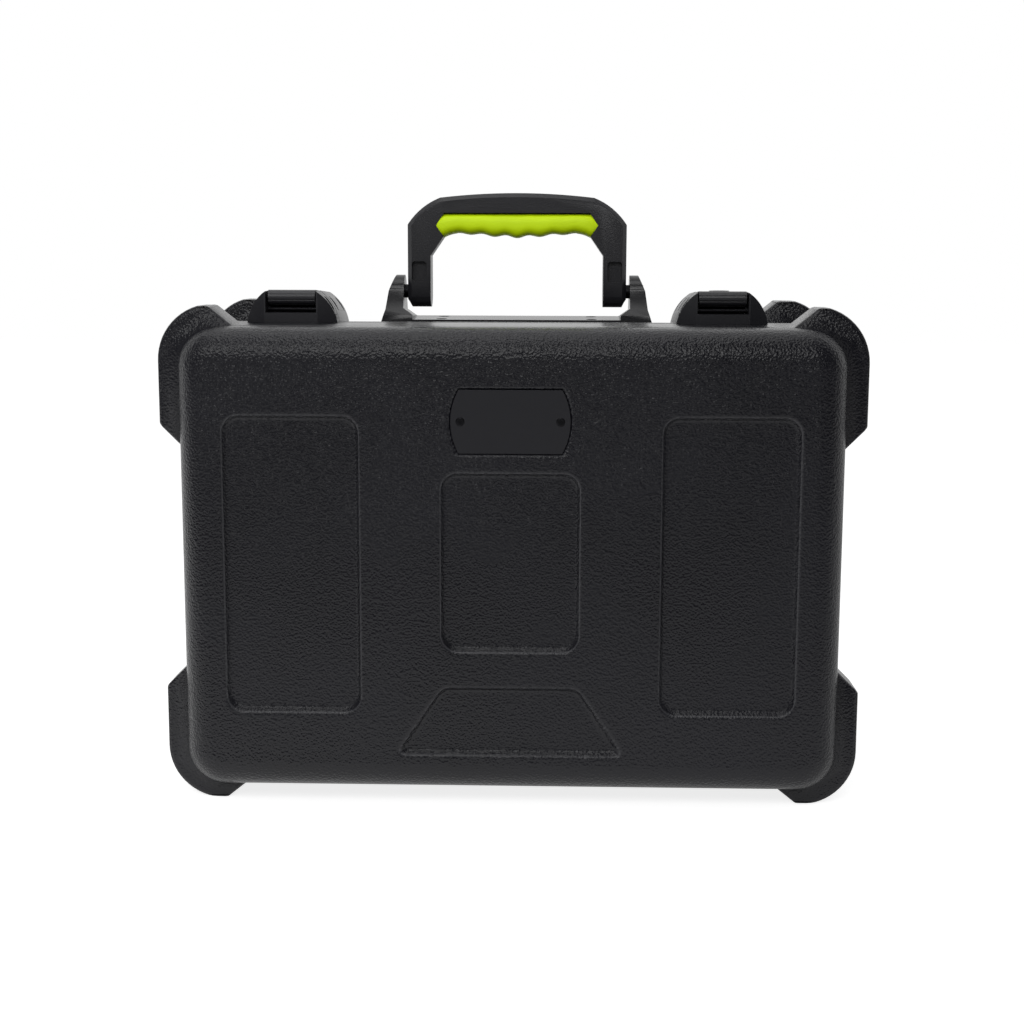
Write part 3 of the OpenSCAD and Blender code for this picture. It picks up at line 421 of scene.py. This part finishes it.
def lid_hollows(x, z):
    """Depth of all hollows in the lid's face: tall ones, middle one, tapered one and the plate's seat."""
    depth = side_hollows(x, z)
    depth = depth + soft_step(inside_box(x, z - MID_HOLLOW_Z, MID_HOLLOW_W, MID_HOLLOW_H, HOLLOW_CORNER))
    taper = inside_trapezoid(x, z - TAPER_Z, TAPER_LOW, TAPER_TOP, TAPER_HEIGHT, TAPER_LOW_CORNER,
                             TAPER_TOP_CORNER)
    depth = depth + soft_step(taper)
    return depth + soft_step(inside_plate(x, z - PLATE_Z, SEAT_ROOM), SEAT_DEPTH, SEAT_RUN, SEAT_ROUND)


def moulded_face(name, reach, hollows, out, body, node, step_mm):
    """Outer face of a shell: a grid over its round-cornered outline, whose depth is the sum of the soft
    steps of its hollows. `out` is -1 where the face looks along -Y and 1 where it looks along +Y."""
    half_w, half_h, corner = reach
    columns, rows = int(2 * half_w / step_mm), int(2 * half_h / step_mm)
    x, z = rounded_field(half_w, half_h, corner, crowded(half_w, columns, ACROSS), crowded(half_h, rows, UP))
    depth = hollows(x, z)
    y = out * (FACE_Y - depth)
    points = np.stack([x, y, z + MID_Z], -1).reshape(-1, 3)
    faces = sheet_faces(rows, columns)
    if out > 0:
        faces = faces[:, ::-1]
    mesh = as_mesh(name, points, faces.tolist())
    # painted highlight: a narrow band of the lighter rim colour where the face starts down into each hollow
    rim = np.exp(-((depth - RIM_HIGHLIGHT_AT) / RIM_HIGHLIGHT_WIDTH) ** 2)
    mesh.attributes.new("rim", "FLOAT", "POINT").data.foreach_set("value", rim.ravel().astype(np.float32))
    return finished(name, mesh, SHELL, body, "shell_plastic", node)


def shell_copy(node, body, out, reach):
    """A shell's solid without its outer face and hollows, with the rims of its bumpers rounded."""
    work = merged_copy(node)
    slack = 0.2
    half_w, half_h = (reach[0] + slack) / 1000, (reach[1] + slack) / 1000
    floor_y = (FACE_Y - RECESS - 0.3) / 1000
    mid_z = MID_Z / 1000

    def in_face(face):
        deep = out * face.calc_center_median().y > floor_y
        return deep and all(abs(v.co.x) <= half_w and abs(v.co.z - mid_z) <= half_h for v in face.verts)

    def on_bumper(edge):
        mid = (edge.verts[0].co + edge.verts[1].co) / 2
        past_side = abs(mid.x) > (WALL_SIDE + CLEAR_OF_WALL) / 1000
        return past_side or abs(mid.z - mid_z) > (WALL_TOP + CLEAR_OF_WALL) / 1000

    bmesh.ops.delete(work, geom=[face for face in work.faces if in_face(face)], context="FACES")
    weight = work.edges.layers.float.new("bevel_weight_edge")
    for edge in work.edges:
        if len(edge.link_faces) == 2 and edge.calc_face_angle(0) > EDGE_ANGLE and on_bumper(edge):
            edge[weight] = 1.0
    mesh = written_out(work, node + "_mesh")
    piece = finished(node + "_walls", mesh, SHELL, body, "shell_plastic", node)
    round_edges(piece, BUMPER_ROUND, BUMPER_SEGMENTS, by_weight=True)
    keep_in_box(piece, mesh)


def points_of(mesh):
    """The mesh's points as rows of x, y and z in metres."""
    flat = np.empty(len(mesh.vertices) * 3)
    mesh.vertices.foreach_get("co", flat)
    return flat.reshape(-1, 3)


def keep_in_box(piece, sharp):
    """Gives a piece its rounded mesh for good, with every point held inside the box of its sharp mesh."""
    corners = points_of(sharp)
    bpy.context.view_layer.update()
    rounded = bpy.data.meshes.new_from_object(piece.evaluated_get(bpy.context.evaluated_depsgraph_get()))
    held = np.clip(points_of(rounded), corners.min(0), corners.max(0))
    rounded.vertices.foreach_set("co", held.ravel())
    piece.modifiers.clear()
    piece.data = rounded


def shells():
    """Walls and outer faces of the lid and the base."""
    lid_reach = half_reach(LID_DEPTH, LID_DRAFT, LID_ROLL)
    base_reach = half_reach(BASE_DEPTH, BASE_DRAFT, BASE_ROLL)
    shell_copy("lid_shell", "lid", -1, lid_reach)
    shell_copy("base_shell", "base", 1, base_reach)
    moulded_face("lid_face", lid_reach, lid_hollows, -1, "lid", "lid_shell", LID_STEP)
    moulded_face("rear_face", base_reach, side_hollows, 1, "base", "base_shell", REAR_STEP)


# ---------- lid foam ----------


PAD_HALF_W, PAD_HALF_H, PAD_CORNER = 217.7, 152.7, 23.4
PAD_FRONT, PAD_SIDE, PAD_ROLL = -78, -96, 16
CRATE_X, CRATE_Z, CRATE_RISE = 31.1, 30.5, 5
PAD_LIP, PAD_LIP_DROP, PAD_FADE = 4, 2, 12


def egg_crate_pad():
    """Foam pad in the lid. Its front is an egg-crate of waves,
    y = PAD_FRONT - CRATE_RISE f (1 - cos(2 pi x / CRATE_X) cos(2 pi z / CRATE_Z)), where f fades to nothing
    at the border; its back rolls round the border in a quarter circle."""
    across, up = np.linspace(-PAD_HALF_W, PAD_HALF_W, 219), np.linspace(-PAD_HALF_H, PAD_HALF_H, 155)
    x, z = rounded_field(PAD_HALF_W, PAD_HALF_H, PAD_CORNER, across, up)
    edge = np.maximum(inside_box(x, z, PAD_HALF_W, PAD_HALF_H, PAD_CORNER), 0)
    fade = np.clip((edge - PAD_LIP) / PAD_FADE, 0, 1)
    waves = np.cos(2 * np.pi * x / CRATE_X) * np.cos(2 * np.pi * z / CRATE_Z)
    lip = PAD_LIP_DROP * np.clip(1 - edge / PAD_LIP, 0, 1) ** 2
    front = PAD_FRONT - CRATE_RISE * fade * (1 - waves) - lip
    back = PAD_SIDE - PAD_ROLL * np.sqrt(1 - (1 - np.clip(edge / PAD_ROLL, 0, 1)) ** 2)
    layers = [np.stack([x, y, z + MID_Z], -1) for y in (front, back)]
    points = np.stack(layers).reshape(-1, 3)
    index = np.arange(x.size).reshape(x.shape)
    quads = sheet_faces(*x.shape)
    ring = np.concatenate([index[0, :-1], index[:-1, -1], index[-1, :0:-1], index[:0:-1, 0]])
    after = np.roll(ring, -1)
    rim = np.stack([ring + x.size, ring, after, after + x.size], -1)
    faces = np.concatenate([quads[:, ::-1], quads + x.size, rim]).tolist()
    mesh = as_mesh("egg_crate_pad", points, faces)
    pad = finished("egg_crate_pad", mesh, FOAM, "lid", "foam", "lid_foam")


# ---------- grip ----------

joints = {joint["name"]: joint for joint in frame["record"]["behaviour"]["joints"]}
PIVOT = np.array(joints["handle_pivot"]["pos_m"]) * 1000

# heights of the grip are counted from the handle's pivot
GRIP_PITCH, GRIP_HALF, GRIP_TOP, GRIP_LOW, GRIP_HALF_Y = 17.4, 59.5, 57.1, 43.1, 12.5
GRIP_ARCH, ARCH_REACH, ARCH_POWER = 3.1, 0.62, 2.6
BUMPS_OUT, BUMP_RISE = [0, 1, 2, 2.5, 2.6], [1.05, 0.75, 0.6, 0.3, 0.0]
LOBE_START, LOBE_RUN, LOBE_DROP, LOBE_POWER = 43.0, 11.0, 3.3, 1.8
TIP_START, NOSE_START, NOSE_DROP = 54.0, 53.5, 9
THIN_START, THIN_RUN, THINNER = 50, 9.5, 0.16
OVAL_POWER = 0.74


def finger_line(x):
    """Underside of the grip over its length: a row of five bumps as a cosine ripple on an arch that hangs
    most in the middle, then a curve down to a lobe at each end that rises again to the tip."""
    a = np.abs(x)
    k = a / GRIP_PITCH
    arch = -GRIP_ARCH / (1 + (ARCH_REACH * k) ** ARCH_POWER)
    ripple = np.interp(k, BUMPS_OUT, BUMP_RISE)
    line = arch - ripple * np.cos(2 * np.pi * k)
    lobe = np.clip((a - LOBE_START) / LOBE_RUN, 0, 1)
    line -= LOBE_DROP * lobe ** LOBE_POWER
    tip = np.clip((a - TIP_START) / (GRIP_HALF - TIP_START), 0, 1)
    tip_rise = GRIP_TOP - NOSE_DROP - GRIP_LOW + LOBE_DROP
    return GRIP_LOW + line + tip_rise * (1 - np.sqrt(1 - tip ** 2))


def finger_grip():
    """Section carried along the grip: a full oval, |y|^2.7 + |z|^2.7 = 1, as high as the gap between the top
    line and the finger line, whose thickness draws in towards the two tips."""
    u = np.linspace(-1, 1, 241)
    x = GRIP_HALF * np.sin(u * np.pi / 2)
    a = np.abs(x)
    nose = np.clip((a - NOSE_START) / (GRIP_HALF - NOSE_START), 0, 1)
    top = GRIP_TOP - NOSE_DROP * (1 - np.sqrt(1 - nose ** 2))
    low = finger_line(x)
    half_y = GRIP_HALF_Y * (1 - THINNER * np.clip((a - THIN_START) / THIN_RUN, 0, 1) ** 2)
    half_z = np.maximum((top - low) / 2, 0.02)
    v = np.linspace(0, 2 * np.pi, 96, endpoint=False)
    oval = [np.sign(f) * np.abs(f) ** OVAL_POWER for f in (np.cos(v), np.sin(v))]
    y = half_y[:, None] * oval[0][None, :]
    z = ((top + low) / 2)[:, None] + half_z[:, None] * oval[1][None, :]
    points = np.stack([np.broadcast_to(x[:, None], y.shape), y, z], -1).reshape(-1, 3) + PIVOT
    faces = sheet_faces(len(x), len(v), around=True).tolist()
    faces.append(list(range(len(v))))
    faces.append(list(range(len(points) - 1, len(points) - 1 - len(v), -1)))
    mesh = as_mesh("finger_grip", points, faces)
    finished("finger_grip", mesh, GRIP, "handle", "grip_rubber", "handle_grip")


shells()
egg_crate_pad()
finger_grip()

# ---------- studio ----------


def softbox(name, centre, target, width, height, power):
    """Rectangular lamp at a place, turned towards a target; sizes in metres, power in watts."""
    data = bpy.data.lights.new(name, "AREA")
    data.shape = "RECTANGLE"
    data.size, data.size_y = width, height
    data.energy = power
    lamp = bpy.data.objects.new(name, data)
    lamp.location = centre
    lamp.rotation_euler = (Vector(target) - Vector(centre)).to_track_quat("-Z", "Y").to_euler()
    bpy.context.scene.collection.objects.link(lamp)


def camera_rays(tree):
    """1 for rays from the camera, 0 for all others."""
    return tree.nodes.new("ShaderNodeLightPath").outputs["Is Camera Ray"]


def axes_of(tree, vector):
    """The x, y and z of a vector, to be taken by name."""
    parts = tree.nodes.new("ShaderNodeSeparateXYZ")
    tree.links.new(vector, parts.inputs[0])
    return parts.outputs


def background_rays(tree):
    """1 for rays from the camera and for what shines or lets light through, 0 for light on the object."""
    path = tree.nodes.new("ShaderNodeLightPath")
    found = path.outputs["Is Camera Ray"]
    for kind in ("Is Glossy Ray", "Is Transmission Ray"):
        found = calculated(tree, "MAXIMUM", found, path.outputs[kind])
    return found


def white_floor(half=6.0, grey=0.7, glow_strength=0.8):
    """Flat floor under the case that shows as white, with a soft shadow where the case stands. In
    reflections it dims towards the photographer and to the right."""
    corners = [(-half, -half, 0), (half, -half, 0), (half, half, 0), (-half, half, 0)]
    mesh = bpy.data.meshes.new("floor")
    mesh.from_pydata(corners, [], [(0, 1, 2, 3)])
    material, tree, shader = new_material("white_floor")
    shader.inputs["Base Color"].default_value = (grey, grey, grey, 1)
    shader.inputs["Roughness"].default_value = 0.9
    shader.inputs["Specular IOR Level"].default_value = 0.0
    glow = tree.nodes.new("ShaderNodeEmission")
    at = axes_of(tree, place(tree))
    near = ramp(tree, at["Y"], 0.1, 1.0, -0.75, -0.2)
    left = ramp(tree, at["X"], 1.0, 0.4, -0.5, 0.4)
    mirrored = calculated(tree, "MULTIPLY", near, left)
    shown = calculated(tree, "MAXIMUM", mirrored, camera_rays(tree))
    shown = calculated(tree, "MULTIPLY", background_rays(tree), shown)
    tree.links.new(calculated(tree, "MULTIPLY", shown, glow_strength), glow.inputs["Strength"])
    add = tree.nodes.new("ShaderNodeAddShader")
    tree.links.new(shader.outputs[0], add.inputs[0])
    tree.links.new(glow.outputs[0], add.inputs[1])
    tree.links.new(add.outputs[0], tree.nodes["Material Output"].inputs["Surface"])
    mesh.materials.append(material)
    floor = bpy.data.objects.new("floor", mesh)
    bpy.context.scene.collection.objects.link(floor)


def studio_world(fill=0.36, front=0.05):
    """White to the camera, and in reflections white behind the case and dim in front of it, where the
    photographer stands; a quieter even grey as light."""
    world = bpy.data.worlds.new("studio")
    bpy.context.scene.world = world
    world.use_nodes = True
    tree = world.node_tree
    background = tree.nodes["Background"]
    background.inputs["Color"].default_value = (1, 1, 1, 1)
    direction = axes_of(tree, tree.nodes.new("ShaderNodeTexCoord").outputs["Generated"])
    room = ramp(tree, direction["Y"], front, 1.0, -0.35, 0.25)
    seen = calculated(tree, "MAXIMUM", room, camera_rays(tree))
    strength = tree.nodes.new("ShaderNodeMix")
    strength.inputs["A"].default_value = fill
    tree.links.new(background_rays(tree), strength.inputs["Factor"])
    tree.links.new(seen, strength.inputs["B"])
    tree.links.new(strength.outputs["Result"], background.inputs["Strength"])


white_floor()
studio_world()
softbox("overhead", (-0.15, -0.4, 1.6), (0, -0.05, 0.2), 1.0, 0.7, 4)
softbox("front_left", (-0.4, -1.5, 1.15), (-0.05, -0.1, 0.2), 1.9, 0.6, 11.5)

bpy.context.view_layer.update()
